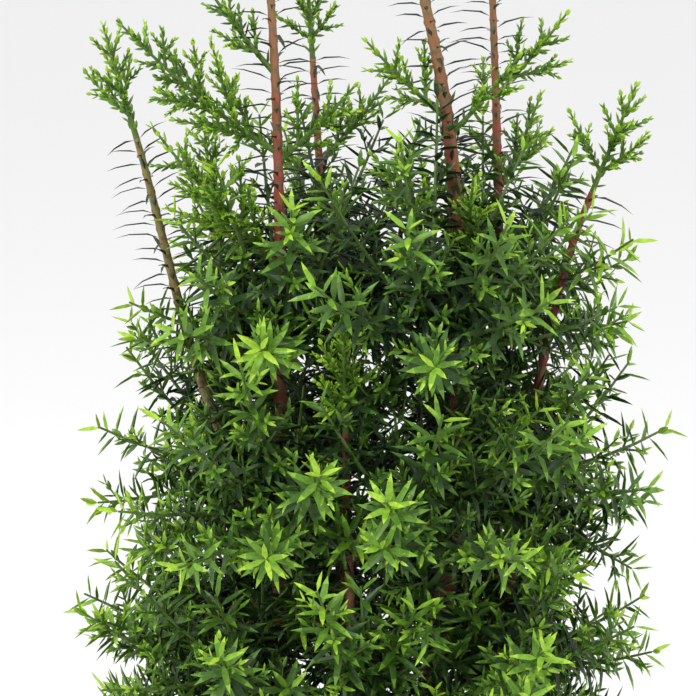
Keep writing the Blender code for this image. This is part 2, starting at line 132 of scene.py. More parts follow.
def run_along(points):
    """Distance from the foot to each point: the running sum of the steps between points."""
    return np.concatenate(([0], np.cumsum(np.linalg.norm(np.diff(points, axis=0), axis=1))))


# %% The trunk and the boughs
trunk_points = through(TRUNK_BENDS, TRUNK_RINGS)
trunk_radii = tapered(TRUNK_RADIUS, LIMB_TIP_RADIUS, TRUNK_RINGS)
slim_share = np.clip((trunk_points[:, 2] - SLIM_FROM) / (SLIM_TO - SLIM_FROM), 0, 1)
trunk_radii *= 1 - TRUNK_SLIMMER * slim_share
trunk_radii += FLARE_RADIUS * np.exp(-FLARE_FALL * trunk_points[:, 2] / FLARE_HEIGHT)
limbs = {"trunk": (trunk_points, trunk_radii)}
for name, (parent, height, knee, end, radius) in BOUGHS.items():
    centre, thick = at_height(limbs[parent], height)
    knee, end = np.array(knee), np.array(end)
    out = unit((knee - centre) * (1, 1, 0))
    foot = centre + out * FOOT_SHIFT * thick
    level_end = foot + out * (thick + TURN_UP * np.linalg.norm(knee - foot))
    points = pulled(foot, level_end, knee, end, BOUGH_RINGS)
    limbs[name] = (points, tapered(radius, LIMB_TIP_RADIUS, BOUGH_RINGS))
print({name: f"{1000 * run_along(points)[-1]:.0f} mm" for name, (points, _) in limbs.items()})

# %% [markdown]
# ## Putting arrays into a mesh
# Blender takes a mesh as flat lists: corner places, the corner numbers of all faces in a row, and where
# each face starts. Handing whole arrays over is hundreds of times faster than adding faces one by one,
# and a plant has tens of thousands of leaves.


# %% Mesh from arrays
def mesh_piece(name, places, corners, sizes, kinds, materials, smooth=False):
    """A new object. Its faces are runs of `sizes` numbers in `corners`, and `kinds` says each face's
    material."""
    mesh = bpy.data.meshes.new(name)
    mesh.vertices.add(len(places))
    mesh.vertices.foreach_set("co", np.ascontiguousarray(places, np.float32).ravel())
    mesh.loops.add(len(corners))
    mesh.loops.foreach_set("vertex_index", np.ascontiguousarray(corners, np.int32))
    mesh.polygons.add(len(sizes))
    starts = np.concatenate(([0], np.cumsum(sizes)[:-1])).astype(np.int32)
    mesh.polygons.foreach_set("loop_start", starts)
    for material in materials:
        mesh.materials.append(material)
    mesh.polygons.foreach_set("material_index", np.ascontiguousarray(kinds, np.int32))
    mesh.polygons.foreach_set("use_smooth", np.full(len(sizes), smooth))
    mesh.update(calc_edges=True)
    mesh.validate()
    obj = bpy.data.objects.new(name, mesh)
    bpy.context.scene.collection.objects.link(obj)
    print(name, "triangles:", int((sizes - 2).sum()))
    return obj


# %% [markdown]
# ## Leaf finishes, with painted light and shade
# Leaf green runs from yellow-green at the tips to nearly black-green inside the crown. The pale tips are
# partly the young leaves' own colour and partly painted light, and the dark inside is painted shade. The
# leaves are joined into a few meshes, so each lit or shaded tone is a plain colour of its own, and every
# leaf is dealt one of them. A shared node group adds a faint mottle and an uneven gloss. It puts out only
# values, and the shader stays in each material.

# %% A shared mottle group
MOTTLE_SCALE, MOTTLE_DETAIL = 700, 2
LEAF_ROUGHNESS, LEAF_SPECULAR = 0.4, 0.35


def new_material(name, colour, roughness):
    """A material whose only shader has a plain colour and roughness."""
    material = bpy.data.materials.new(name)
    material.use_nodes = True
    shader = material.node_tree.nodes["Principled BSDF"]
    shader.inputs["Base Color"].default_value = (*colour, 1)
    shader.inputs["Roughness"].default_value = roughness
    return material, shader


def map_range(nodes, given, wanted=(0.0, 1.0)):
    """A node that carries one span evenly onto another and stops at both ends."""
    node = nodes.new("ShaderNodeMapRange")
    for socket, value in zip(("From Min", "From Max", "To Min", "To Max"), (*given, *wanted)):
        node.inputs[socket].default_value = value
    return node


mottle = bpy.data.node_groups.new("leaf_mottle", "ShaderNodeTree")
mottle.interface.new_socket("Tone", in_out="INPUT", socket_type="NodeSocketColor")
mottle.interface.new_socket("Scale", in_out="INPUT", socket_type="NodeSocketFloat")
mottle.interface.new_socket("Color", in_out="OUTPUT", socket_type="NodeSocketColor")
mottle.interface.new_socket("Roughness", in_out="OUTPUT", socket_type="NodeSocketFloat")
group_in = mottle.nodes.new("NodeGroupInput")
group_out = mottle.nodes.new("NodeGroupOutput")
where = mottle.nodes.new("ShaderNodeTexCoord")
noise = mottle.nodes.new("ShaderNodeTexNoise")
noise.inputs["Detail"].default_value = MOTTLE_DETAIL
brighten = map_range(mottle.nodes, (0.3, 0.7), (0.8, 1.25))
tint = mottle.nodes.new("ShaderNodeVectorMath")
tint.operation = "SCALE"
gloss = map_range(mottle.nodes, (0.0, 1.0), (0.34, 0.52))
for start, end in (
    (where.outputs["Object"], noise.inputs["Vector"]),
    (group_in.outputs["Scale"], noise.inputs["Scale"]),
    (noise.outputs["Fac"], brighten.inputs["Value"]),
    (noise.outputs["Fac"], gloss.inputs["Value"]),
    (group_in.outputs["Tone"], tint.inputs[0]),
    (brighten.outputs["Result"], tint.inputs["Scale"]),
    (tint.outputs["Vector"], group_out.inputs["Color"]),
    (gloss.outputs["Result"], group_out.inputs["Roughness"]),
):
    mottle.links.new(start, end)
print("nodes in the mottle group:", len(mottle.nodes))

# %% Leaf and twig tones
# Lit and shaded copies of one leaf green: the pale tones are painted light, at the tips also the young leaves'
# own colour, and the dark tones are painted shade.
LEAF_TONES = {  # from the young tips to the shaded inside, then the thin old leaves of the leaders
    "leaf_tip": (0.310, 0.500, 0.030),
    "leaf_young_and_lit": (0.180, 0.350, 0.020),
    "leaf_painted_lit": (0.095, 0.215, 0.013),
    "leaf_painted_half_shade": (0.046, 0.118, 0.009),
    "leaf_painted_shade": (0.018, 0.052, 0.006),
    "leaf_shaded": (0.007, 0.023, 0.004),
    "leaf_old": (0.022, 0.040, 0.014),
}
DARKEST, OLD = 5, 6  # numbers of the shaded and the old tone
TONE_STEPS = (0.22, 0.40, 0.58, 0.76, 0.94)  # a leaf in more light than a step is one tone paler


def mottled_material(name, colour):
    """A satin finish: the mottle group drives its colour and its gloss."""
    material, shader = new_material(name, colour, LEAF_ROUGHNESS)
    shader.inputs["Specular IOR Level"].default_value = LEAF_SPECULAR
    group = material.node_tree.nodes.new("ShaderNodeGroup")
    group.node_tree = mottle
    group.inputs["Tone"].default_value = (*colour, 1)
    group.inputs["Scale"].default_value = MOTTLE_SCALE
    for socket, output in (("Base Color", "Color"), ("Roughness", "Roughness")):
        material.node_tree.links.new(group.outputs[output], shader.inputs[socket])
    return material


def tones_for(light):
    """The darkest tone's number less one for every step of light that is passed."""
    return DARKEST - np.digitize(light, TONE_STEPS)


leaf_materials = [mottled_material(name, colour) for name, colour in LEAF_TONES.items()]
twig_materials = [
    mottled_material("twig_green", (0.070, 0.130, 0.020)),
    mottled_material("twig_brown", (0.090, 0.060, 0.028)),
]
GREEN, BROWN = 0, 1
print("leaf tones:", len(leaf_materials), "twig tones:", len(twig_materials))

# %% [markdown]
# ## Bark finishes
# The stems are grey-brown at the foot, brick red in the body and orange to green at their young ends.
# Height alone decides this on an upright plant, so a colour ramp on the height is enough. Noise lays
# flecks of another colour over it, and a finer noise gives the surface its grain.

# %% Bark materials
TALLEST, BARK_ROUGHNESS = 0.37, 0.6
FLECK_SCALE, FLECK_DETAIL, FLECK_SPAN = 260, 4, (0.5, 0.72)
GRAIN_SCALE, GRAIN_STRENGTH, GRAIN_DEPTH = 1400, 0.5, 0.0002


def bark_material(name, stops, fleck):
    """Colour by share of the whole height through the stops, flecks where a noise is high, and a bump
    of grain."""
    material, shader = new_material(name, stops[0][1], BARK_ROUGHNESS)
    nodes, links = material.node_tree.nodes, material.node_tree.links
    where = nodes.new("ShaderNodeTexCoord")
    parts = nodes.new("ShaderNodeSeparateXYZ")
    share = map_range(nodes, (0.0, TALLEST))
    ramp = nodes.new("ShaderNodeValToRGB")
    elements = ramp.color_ramp.elements
    first, *between, last = stops
    for element, (height, colour) in zip(elements, (first, last)):
        element.position, element.color = height, (*colour, 1)
    for height, colour in between:
        elements.new(height).color = (*colour, 1)
    patches = nodes.new("ShaderNodeTexNoise")
    patches.inputs["Scale"].default_value = FLECK_SCALE
    patches.inputs["Detail"].default_value = FLECK_DETAIL
    fleck_mask = map_range(nodes, FLECK_SPAN)
    mix = nodes.new("ShaderNodeMix")
    mix.data_type = "RGBA"
    mix.inputs["B"].default_value = (*fleck, 1)
    grain = nodes.new("ShaderNodeTexNoise")
    grain.inputs["Scale"].default_value = GRAIN_SCALE
    bump = nodes.new("ShaderNodeBump")
    bump.inputs["Strength"].default_value = GRAIN_STRENGTH
    bump.inputs["Distance"].default_value = GRAIN_DEPTH
    for start, end in (
        (where.outputs["Object"], parts.inputs["Vector"]),
        (parts.outputs["Z"], share.inputs["Value"]),
        (share.outputs["Result"], ramp.inputs["Fac"]),
        (where.outputs["Object"], patches.inputs["Vector"]),
        (patches.outputs["Fac"], fleck_mask.inputs["Value"]),
        (fleck_mask.outputs["Result"], mix.inputs["Factor"]),
        (ramp.outputs["Color"], mix.inputs["A"]),
        (mix.outputs["Result"], shader.inputs["Base Color"]),
        (where.outputs["Object"], grain.inputs["Vector"]),
        (grain.outputs["Fac"], bump.inputs["Height"]),
        (bump.outputs["Normal"], shader.inputs["Normal"]),
    ):
        links.new(start, end)
    return material


RED_STOPS = [  # share of the whole height, and the colour there
    (0.00, (0.090, 0.055, 0.040)),
    (0.30, (0.150, 0.045, 0.030)),
    (0.62, (0.230, 0.030, 0.022)),
    (0.72, (0.270, 0.050, 0.028)),
    (0.82, (0.260, 0.110, 0.045)),
    (0.93, (0.200, 0.160, 0.040)),
    (1.00, (0.190, 0.200, 0.040)),
]
YOUNG_STOPS = [(0.0, (0.10, 0.06, 0.03)), (0.6, (0.17, 0.14, 0.04)), (1.0, (0.22, 0.27, 0.05))]
BASE_STOPS = [(0.0, (0.06, 0.05, 0.03)), (0.6, (0.15, 0.06, 0.03)), (1.0, (0.13, 0.19, 0.04))]
bark_red = bark_material("bark_red", RED_STOPS, (0.16, 0.12, 0.05))
bark_young = bark_material("bark_young", YOUNG_STOPS, (0.22, 0.10, 0.04))
bark_leaf_base = bark_material("bark_leaf_base", BASE_STOPS, (0.07, 0.09, 0.03))
print("bark finishes:", bark_red.name, bark_young.name, bark_leaf_base.name)

# %% [markdown]
# ## Bark with leaf bases
# On a young stem every leaf leaves a raised green base. Leaves stand in opposite pairs, each pair
# square to the last, so the bark is a tube whose radius swells at two opposite places, turned a quarter
# at each pair. A bump map would stay flat at the edge of the stem, so the swelling is real geometry.

# %% Tubes with relief
LEAF_PAIR_STEP = 0.0024
BASE_PLACE, BASE_LENGTH = 0.62, 0.26  # shares of a step
BASE_HEIGHT, BASE_SHARPNESS = 0.20, 5
BASE_GREEN = 0.42  # how swollen a face is before it takes the leaf base's finish
FLARE_LOBES, FLARE_LOBE_DEPTH = (3, 5), 0.10
RIDGES = ((0.03, 3, 40), (0.02, 7, 160))  # height, ridges round the stem, turn per metre
TRUNK_SIDES, BOUGH_SIDES = 20, 14


def tube(points, radii, around):
    """Rings of the local radius along the line. Each leaf base swells them by a power of the cosine
    round the stem times a bell along it, sines add low ridges, and cosines that fade with height lobe
    the foot."""
    tangents = unit(np.gradient(points, axis=0))
    guide = np.eye(3)[np.argmin(np.abs(tangents).max(0))]
    side = unit(guide - tangents * (tangents @ guide)[:, None])
    over = np.cross(tangents, side)
    run = run_along(points)
    pair = run / LEAF_PAIR_STEP
    phi = np.arange(around)[None] * 2 * np.pi / around
    turn = phi - (np.floor(pair) % 2)[:, None] * np.pi / 2
    bell = np.exp(-(((pair % 1) - BASE_PLACE) / BASE_LENGTH) ** 2)[:, None]
    swell = bell * np.abs(np.cos(turn)) ** BASE_SHARPNESS
    height = points[:, 2:]
    flare = np.exp(-FLARE_FALL * height / FLARE_HEIGHT) * (height < FLARE_FALL * FLARE_HEIGHT)
    angle = phi + np.arctan2(side[:, 1], side[:, 0])[:, None]
    lobes = sum(np.cos(count * angle + count) for count in FLARE_LOBES)
    ridges = sum(tall * np.sin(count * phi + twist * run[:, None]) for tall, count, twist in RIDGES)
    reach = radii[:, None] * (1 + BASE_HEIGHT * swell + ridges + FLARE_LOBE_DEPTH * flare * lobes)
    ring = np.cos(phi)[..., None] * side[:, None] + np.sin(phi)[..., None] * over[:, None]
    return points[:, None] + ring * reach[..., None], swell


def tube_faces(rings, around):
    """Quads between neighbouring rings, and a fan at each end round a middle corner numbered after all
    rings."""
    row = np.arange(rings - 1)[:, None] * around
    this = np.arange(around)[None]
    following = (this + 1) % around
    corners = (row + this, row + following, row + around + following, row + around + this)
    quads = np.stack(corners, -1).reshape(-1, 4)
    last = (rings - 1) * around
    foot = np.stack((np.full(around, rings * around), following[0], this[0]), -1)
    tip = np.stack((np.full(around, rings * around + 1), last + this[0], last + following[0]), -1)
    return quads, np.vstack((foot, tip))


# %% Bark of every limb
for name, (points, radii) in limbs.items():
    around = TRUNK_SIDES if name == "trunk" else BOUGH_SIDES
    rings, swell = tube(points, radii, around)
    quads, fans = tube_faces(len(points), around)
    places = np.vstack((rings.reshape(-1, 3), points[0], points[-1]))
    places[:, 2] = np.maximum(places[:, 2], 0)
    on_base = (swell.reshape(-1)[quads].mean(1) > BASE_GREEN).astype(int)
    piece = mesh_piece(
        f"bark_{name}",
        places,
        np.concatenate((quads.ravel(), fans.ravel())),
        np.concatenate((np.full(len(quads), 4), np.full(len(fans), 3))),
        np.concatenate((on_base, np.zeros(len(fans), int))),
        [bark_young if name == "bough_left_side" else bark_red, bark_leaf_base],
        smooth=True,
    )
    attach(piece, "root")
    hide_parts(name)

# %% [markdown]
# ## The crown's outline
# The leafy body is a blunt column that leans a little to the right. A superellipse gives its width at
# each height. It is made of rings of masses, and each mass is a point in the middle of its share of the
# column.

# %% Outline and mass centres
BODY_MIDDLE, BODY_HALF_HEIGHT, BODY_RADIUS = 0.130, 0.170, 0.078
BODY_BLUNTNESS, BODY_ROUNDNESS, BODY_LEAN = 2.6, 2.2, 0.010
BODY_FLOOR, BODY_TOP = 0.012, 0.285
RINGS = {  # height, how many masses, distance from the middle, first azimuth
    "low": (0.046, 6, 0.041, 256),
    "lower_middle": (0.091, 7, 0.046, 244),
    "upper_middle": (0.138, 7, 0.046, 270),
    "upper": (0.185, 6, 0.043, 290),
    "shoulder": (0.228, 4, 0.036, 203),
}
UP = np.array((0.0, 0.0, 1.0))


def heading(azimuth):
    """Level unit vector: the cosine and sine of the azimuth, counted from +X towards +Y."""
    turn = math.radians(azimuth)
    return np.array((math.cos(turn), math.sin(turn), 0.0))


def middle_x(height):
    """X of the body's middle line, which grows evenly with height."""
    return BODY_LEAN * (height - BODY_MIDDLE) / BODY_HALF_HEIGHT


def off_middle(points):
    """Level distance from the body's middle line."""
    return np.hypot(points[..., 0] - middle_x(points[..., 2]), points[..., 1])


def body_radius(height):
    """Superellipse: the share of the half height to one power, taken from 1, to one over another
    power."""
    share = np.minimum(1, np.abs(height - BODY_MIDDLE) / BODY_HALF_HEIGHT)
    return BODY_RADIUS * (1 - share**BODY_BLUNTNESS) ** (1 / BODY_ROUNDNESS)


def in_body(points):
    """Whether each point is above the floor, below the top and nearer the middle than the outline."""
    height = points[..., 2]
    return (height > BODY_FLOOR) & (height < BODY_TOP) & (off_middle(points) < body_radius(height))


centres, levels = [], []
for level, (height, count, distance, first) in RINGS.items():
    middle = np.array((middle_x(height), 0, height))
    centres += [middle + heading(first + 360 * index / count) * distance for index in range(count)]
    levels += [level] * count
centres = np.array(centres)
print("masses:", len(centres))

# %% [markdown]
# ## The rule of growth
# A stem runs from the nearest limb to a fork inside each mass, and main shoots leave the fork over a
# wide cap that faces outwards and up. A shoot bends towards the light: after a run s it has reached
# start + direction * s + bend * s * s. It stops where it would leave the outline or reach far into the
# next mass.

# %% Main shoots of the dense masses
SHOOTS_PER_MASS, SHOOT_CAP, SHOOT_TILT = 17, 104, 28
LONGEST_SHOOT, LIFT, LIFTS, DIRECTION_SCATTER = 0.044, 0.27, (0.6, 1.4), 0.10
REACH_ACROSS = 0.006  # how far a shoot may reach into the next mass
FORK_BACK, FORK_SPAN = 0.008, (-0.003, 0.007)  # fork behind the centre, and where on the stem shoots start
STEM_DROP, STEM_OVERRUN = 0.012, 0.004
RUN_STEPS, FEWEST_STEPS = 40, 9
rng = np.random.default_rng(20)


def cap(axis, count, half_angle, turn):
    """Directions spread over a cap about the axis: equal steps of height, each turned on by the golden
    angle."""
    side = unit(np.cross(axis, UP))
    over = np.cross(side, axis)
    index = np.arange(count)
    rise = 1 - (1 - np.cos(np.radians(half_angle))) * (index + 0.5) / count
    angle = index * np.pi * (3 - np.sqrt(5)) + turn
    flat = np.sqrt(1 - rise**2)
    sideways = (flat * np.cos(angle))[:, None] * side + (flat * np.sin(angle))[:, None] * over
    return rise[:, None] * axis + sideways


shoots, stems = [], []  # rows: start, direction, bend, length, level
tilt = math.radians(SHOOT_TILT)
run = np.linspace(0, LONGEST_SHOOT, RUN_STEPS + 1)[None, :, None]
for number, (centre, level) in enumerate(zip(centres, levels)):
    outward = unit((centre - (middle_x(centre[2]), 0, centre[2])) * (1, 1, 0))
    fork = centre - outward * FORK_BACK
    feet = [at_height(limb, fork[2] - STEM_DROP)[0] for limb in limbs.values()]
    foot = min(feet, key=lambda place: np.linalg.norm(place - fork))
    way = unit(fork - foot)
    stems.append((foot, way, UP * 0.0, np.linalg.norm(fork - foot) + STEM_OVERRUN, level))
    axis = outward * math.cos(tilt) + UP * math.sin(tilt)
    scatter = rng.normal(0, DIRECTION_SCATTER, (SHOOTS_PER_MASS, 3))
    directions = unit(cap(axis, SHOOTS_PER_MASS, SHOOT_CAP, number) + scatter)
    starts = fork - way * rng.uniform(*FORK_SPAN, (SHOOTS_PER_MASS, 1))
    bends = UP * LIFT / LONGEST_SHOOT * rng.uniform(*LIFTS, (SHOOTS_PER_MASS, 1))
    path = starts[:, None] + directions[:, None] * run + bends[:, None] * run**2
    others = np.delete(centres, number, 0)
    apart = unit(others - centre)
    limits = (apart * (others + centre) / 2).sum(1) + REACH_ACROSS
    kept = (np.einsum("spx,ox->spo", path, apart) < limits).all(-1) & in_body(path)
    steps = np.where(kept.all(1), RUN_STEPS, np.argmin(kept, 1) - 1)
    rows = zip(starts, directions, bends, LONGEST_SHOOT * steps / RUN_STEPS, [level] * SHOOTS_PER_MASS)
    shoots += [row for row, step in zip(rows, steps) if step >= FEWEST_STEPS]
print("main shoots of the dense masses:", len(shoots), "stems:", len(stems))

# %% [markdown]
# ## Many shoots at once
# All shoots of a kind are kept as arrays, so one formula places every leaf pair of every shoot. A loop
# over shoots would give the same plant, only many times slower.

# %% Sets of shoots
LIGHT_SCATTER = 0.10  # how much one shoot is brighter or darker than the next
SPRIG_TURN, SPRIG_LEAN, SPRIG_RISE, SPRIG_BEND = 0.3, 7, 0.12, 8.0
SPRIG_LENGTHS, SPRIG_BENDS = (0.75, 1.2), (0.3, 1.2)
STEEPEST = 0.05  # a shoot whose level part is shorter than this counts as upright


def shoot_set(rows):
    """Rows of start, direction, bend, length and level as arrays, with a drawn roll and light for each
    shoot."""
    start, direction, bend, length, level = zip(*rows)
    return {
        "start": np.array(start, float),
        "direction": np.array(direction, float),
        "bend": np.array(bend, float),
        "length": np.array(length, float),
        "level": np.array(level),
        "roll": rng.uniform(0, np.pi, len(rows)),
        "light": rng.normal(0, LIGHT_SCATTER, len(rows)),
    }


def path_at(group, owner, run):
    """Place start + direction * s + bend * s * s, and the unit vector of its rate of change."""
    start, direction, bend = (group[key][owner] for key in ("start", "direction", "bend"))
    run = run[:, None]
    return start + direction * run + bend * run**2, unit(direction + 2 * bend * run)


def side_vectors(direction, tangent):
    """A level unit vector square to the path, and the one that makes a right-handed set with the
    tangent."""
    level = np.cross(direction, UP)
    upright = np.linalg.norm(level, axis=1, keepdims=True) < STEEPEST
    level = np.where(upright, (1.0, 0.0, 0.0), level)
    level = unit(level - tangent * (level * tangent).sum(1, keepdims=True))
    return level, np.cross(tangent, level)


def swung(turn, level, over):
    """Unit vector at an angle in the plane of two square ones: cosine of one plus sine of the other."""
    return np.cos(turn)[:, None] * level + np.sin(turn)[:, None] * over


def opened(opening, out, tangent):
    """Unit vector that leaves the tangent by the opening, in degrees, towards out."""
    opening = np.radians(opening)[:, None]
    return out * np.sin(opening) + tangent * np.cos(opening)


def pairs_along(group, first, step):
    """Owner, number and run of each leaf pair: pair j stands at first + j * step while inside the
    length."""
    counts = np.maximum(0, ((group["length"] - first) / step).astype(int) + 1)
    owner = np.repeat(np.arange(len(counts)), counts)
    number = np.arange(counts.sum()) - np.repeat(np.cumsum(counts) - counts, counts)
    return owner, number, first + number * step


def side_sprigs(group, first, step, angle, share, shortest, longest):
    """Opposite sprigs, a quarter turn on at each pair. Each leaves at the angle and is as long as a
    share of the way left to its shoot's tip, held between the shortest and the longest."""
    owner, number, run = pairs_along(group, first, step)
    left = group["length"][owner] - run
    keep = left > shortest
    owner, number, run, left = owner[keep], number[keep], run[keep], left[keep]
    place, tangent = path_at(group, owner, run)
    level, over = side_vectors(group["direction"][owner], tangent)
    count = len(owner)
    rows = []
    for half in (0, np.pi):
        turn = group["roll"][owner] + (number % 2) * np.pi / 2 + half + rng.normal(0, SPRIG_TURN, count)
        leaning = opened(angle + rng.normal(0, SPRIG_LEAN, count), swung(turn, level, over), tangent)
        way = unit(leaning + UP * SPRIG_RISE)
        length = np.clip(left * share * rng.uniform(*SPRIG_LENGTHS, count), shortest, longest)
        bend = UP * SPRIG_BEND * rng.uniform(*SPRIG_BENDS, (count, 1))
        rows += list(zip(place, way, bend, length, group["level"][owner]))
    return rows


# %% [markdown]
# ## Leaves on a shoot
# Leaves stand in opposite pairs. Towards the tip they stand more upright and are smaller, which closes
# the shoot in a tuft. On body shoots each pair is turned by less than a quarter, so a tuft seen end on
# is a full rosette.

# %% Leaves of a set of shoots
TIP_REACH = 0.0045  # how far from the tip leaves begin to close
TIP_NARROWING, TIP_STRAIGHTENING = 0.3, 0.9
LEAF_TURN, LEAF_OPENING = 0.12, 6
LEAF_LENGTHS, LEAF_WIDTHS, LEAF_CURVES = (0.82, 1.12), (0.85, 1.15), (0.6, 1.4)
CLEARANCE, TESTED_PLACE, TESTED_STEP, TESTED_LOTS = 0.0004, 0.6, 8, 12


def leaves_of(
    group, first, step, length, width, spread, curve, closing=0.6, shrink=0.45, pair_turn=np.pi / 2
):
    """Two opposite leaves at each pair. How upright, small and straight a leaf is follows a falling
    exponential of the way left to the tip. The leaf's width lies square to both the leaf and the
    shoot."""
    owner, number, run = pairs_along(group, first, step)
    place, tangent = path_at(group, owner, run)
    level, over = side_vectors(group["direction"][owner], tangent)
    owner, number, run = (np.repeat(values, 2) for values in (owner, number, run))
    place, tangent, level, over = (np.repeat(values, 2, 0) for values in (place, tangent, level, over))
    count = len(owner)
    half = np.tile((0, np.pi), count // 2)
    turn = group["roll"][owner] + number * pair_turn + half + rng.normal(0, LEAF_TURN, count)
    near_tip = np.exp(-(group["length"][owner] - run) / TIP_REACH)
    opening = spread * (1 - closing * near_tip) + rng.normal(0, LEAF_OPENING, count)
    along = opened(opening, swung(turn, level, over), tangent)
    across = unit(np.cross(along, tangent))
    return {
        "base": place,
        "along": along,
        "across": across,
        "face": np.cross(across, along),
        "length": length * (1 - shrink * near_tip) * rng.uniform(*LEAF_LENGTHS, count),
        "width": width * rng.uniform(*LEAF_WIDTHS, count) * (1 - TIP_NARROWING * near_tip),
        "curve": curve * rng.uniform(*LEAF_CURVES, count) * (1 - TIP_STRAIGHTENING * near_tip),
        "near_tip": near_tip,
        "light": group["light"][owner],
        "level": group["level"][owner],
    }


def joined(sets):
    """The same arrays of several sets, end to end."""
    return {key: np.concatenate([part[key] for part in sets]) for key in sets[0]}


def picked(leaves, mask):
    """The rows of every array that the mask keeps."""
    return {key: values[mask] for key, values in leaves.items()}


def clear_of_limbs(leaves):
    """The leaves with a tested place, just past their middle, further from every limb than its radius
    and a clearance. The distances are worked out in lots, which keeps the arrays small."""
    tested = leaves["base"] + leaves["along"] * leaves["length"][:, None] * TESTED_PLACE
    keep = np.ones(len(tested), bool)
    for points, radii in limbs.values():
        line, thick = points[::TESTED_STEP], radii[::TESTED_STEP]
        for lot in np.array_split(np.arange(len(tested)), TESTED_LOTS):
            away = np.linalg.norm(tested[lot, None] - line[None], axis=-1)
            keep[lot] &= (away > thick + CLEARANCE).all(1)
    return picked(leaves, keep)


# %% [markdown]
# ## One leaf
# A young leaf is a slim pointed blade with a shallow groove above and a keel below, and it arches away
# from the shoot. Ten corners are enough: a point at the foot, two rings of four, and a point at the
# tip. That makes sixteen triangles, which is little enough to repeat tens of thousands of times.

# %% Leaf mesh
LEAF_RINGS = ((0.32, 1.0), (0.72, 0.74))  # share of the length, and share of the full half width there
GROOVE_DEPTH, RIM_RISE, KEEL_DEPTH = 0.02, 0.22, 0.50  # shares of the half width
LEAF_CORNERS, LEAF_FACE_COUNT, FIRST_TIP_FACE = 10, 12, 8
FOOT_FAN = [corner for k in range(4) for corner in (0, 1 + (k + 1) % 4, 1 + k)]
SIDES = [corner for k in range(4) for corner in (1 + k, 1 + (k + 1) % 4, 5 + (k + 1) % 4, 5 + k)]
TIP_FAN = [corner for k in range(4) for corner in (5 + k, 5 + (k + 1) % 4, 9)]
LEAF_FACES = np.array(FOOT_FAN + SIDES + TIP_FAN)
LEAF_SIZES = np.array([3] * 4 + [4] * 4 + [3] * 4)


def leaf_piece(name, leaves, tones):
    """Each leaf's middle line is base + along * L t - face * L c t * t for a length L and a curve c. The
    faces at the tip are one tone paler than the rest as a painted highlight, except on old leaves."""
    long, half = leaves["length"][:, None], leaves["width"][:, None] / 2
    along, across, face = leaves["along"], leaves["across"], leaves["face"]

    def centre(t):
        return leaves["base"] + along * long * t - face * long * leaves["curve"][:, None] * t * t

    corners = [centre(0.0)]
    for t, full in LEAF_RINGS:
        middle, reach = centre(t), half * full
        rim = middle + face * reach * RIM_RISE
        groove, keel = middle - face * reach * GROOVE_DEPTH, middle - face * reach * KEEL_DEPTH
        corners += [groove, rim + across * reach, keel, rim - across * reach]
    corners.append(centre(1.0))
    places = np.stack(corners, 1).reshape(-1, 3)
    count = len(long)
    faces = (np.arange(count)[:, None] * LEAF_CORNERS + LEAF_FACES[None]).ravel()
    kinds = np.repeat(tones[:, None], LEAF_FACE_COUNT, 1)
    # The tip faces are one tone paler: a painted highlight.
    painted_tip_highlight = (tones > 0) & (tones < OLD)
    kinds[:, FIRST_TIP_FACE:] -= painted_tip_highlight[:, None]
    return mesh_piece(name, places, faces, np.tile(LEAF_SIZES, count), kinds.ravel(), leaf_materials)


# %% [markdown]
# ## Twigs
# A twig is a thin round rod along its shoot. It could be a curve object with a bevel, but every curve
# would have to be made a mesh, so the rods of a whole set are built as one array.


# %% Twig mesh
def twig_piece(name, parts):
    """Circles round every path, whose radius falls evenly from root to tip, closed with a point at both
    ends."""
    places, corners, sizes, kinds, offset = [], [], [], [], 0
    for group, root, tip, sides, rings, kind in parts:
        count = len(group["length"])
        share = np.tile(np.linspace(0, 1, rings), count)
        owner = np.repeat(np.arange(count), rings)
        place, tangent = path_at(group, owner, share * group["length"][owner])
        level, over = side_vectors(group["direction"][owner], tangent)
        phi = (np.arange(sides) * 2 * np.pi / sides)[None, :, None]
        circle = np.cos(phi) * level[:, None] + np.sin(phi) * over[:, None]
        thick = (root + (tip - root) * share)[:, None, None]
        ring = (place[:, None] + circle * thick).reshape(count, rings * sides, 3)
        ends = place.reshape(count, rings, 3)[:, (0, -1)]
        places.append(np.concatenate((ring, ends), 1).reshape(-1, 3))
        quads, fans = tube_faces(rings, sides)
        template = np.concatenate((quads.ravel(), fans.ravel()))
        each = rings * sides + 2
        corners.append((offset + np.arange(count)[:, None] * each + template[None]).ravel())
        sizes.append(np.tile([4] * len(quads) + [3] * len(fans), count))
        kinds.append(np.full((len(quads) + len(fans)) * count, kind))
        offset += count * each
    arrays = (np.concatenate(lists) for lists in (places, corners, sizes, kinds))
    return mesh_piece(name, *arrays, twig_materials)


# %% [markdown]
# ## The dense body
# Long soft leaves stand on the main shoots, nearly square to them. Small sprigs fill the space between.
# A leaf near the outline or near a tip is dealt a pale tone as painted light, and the deep leaves are
# dealt dark ones as painted shade, so the crown looks deep from all sides.

# %% Body leaves
PAIR_TURN = np.radians(70)
BODY_SPRIGS = (0.006, 0.0078, 50, 0.55, 0.0060, 0.013)  # first, step, angle, share, shortest, longest
LONG_LEAVES = (0.006, 0.0020, 0.0092, 0.0019, 76, 0.22, 0.45, 0.30)  # first to shrink, as leaves_of names them
SPRIG_LEAVES = (0.0018, 0.0019, 0.0052, 0.0013, 58, 0.16, 0.5, 0.4)
dense = shoot_set(shoots)
sprigs = shoot_set(side_sprigs(dense, *BODY_SPRIGS))
sprig_tips, _ = path_at(sprigs, np.arange(len(sprigs["length"])), sprigs["length"])
sprigs = picked(sprigs, in_body(sprig_tips))
long_leaves = leaves_of(dense, *LONG_LEAVES, PAIR_TURN)
sprig_leaves = leaves_of(sprigs, *SPRIG_LEAVES, PAIR_TURN)
body_leaves = clear_of_limbs(joined([long_leaves, sprig_leaves]))
print("sprigs of the body:", len(sprigs["length"]), "leaves:", len(body_leaves["length"]))
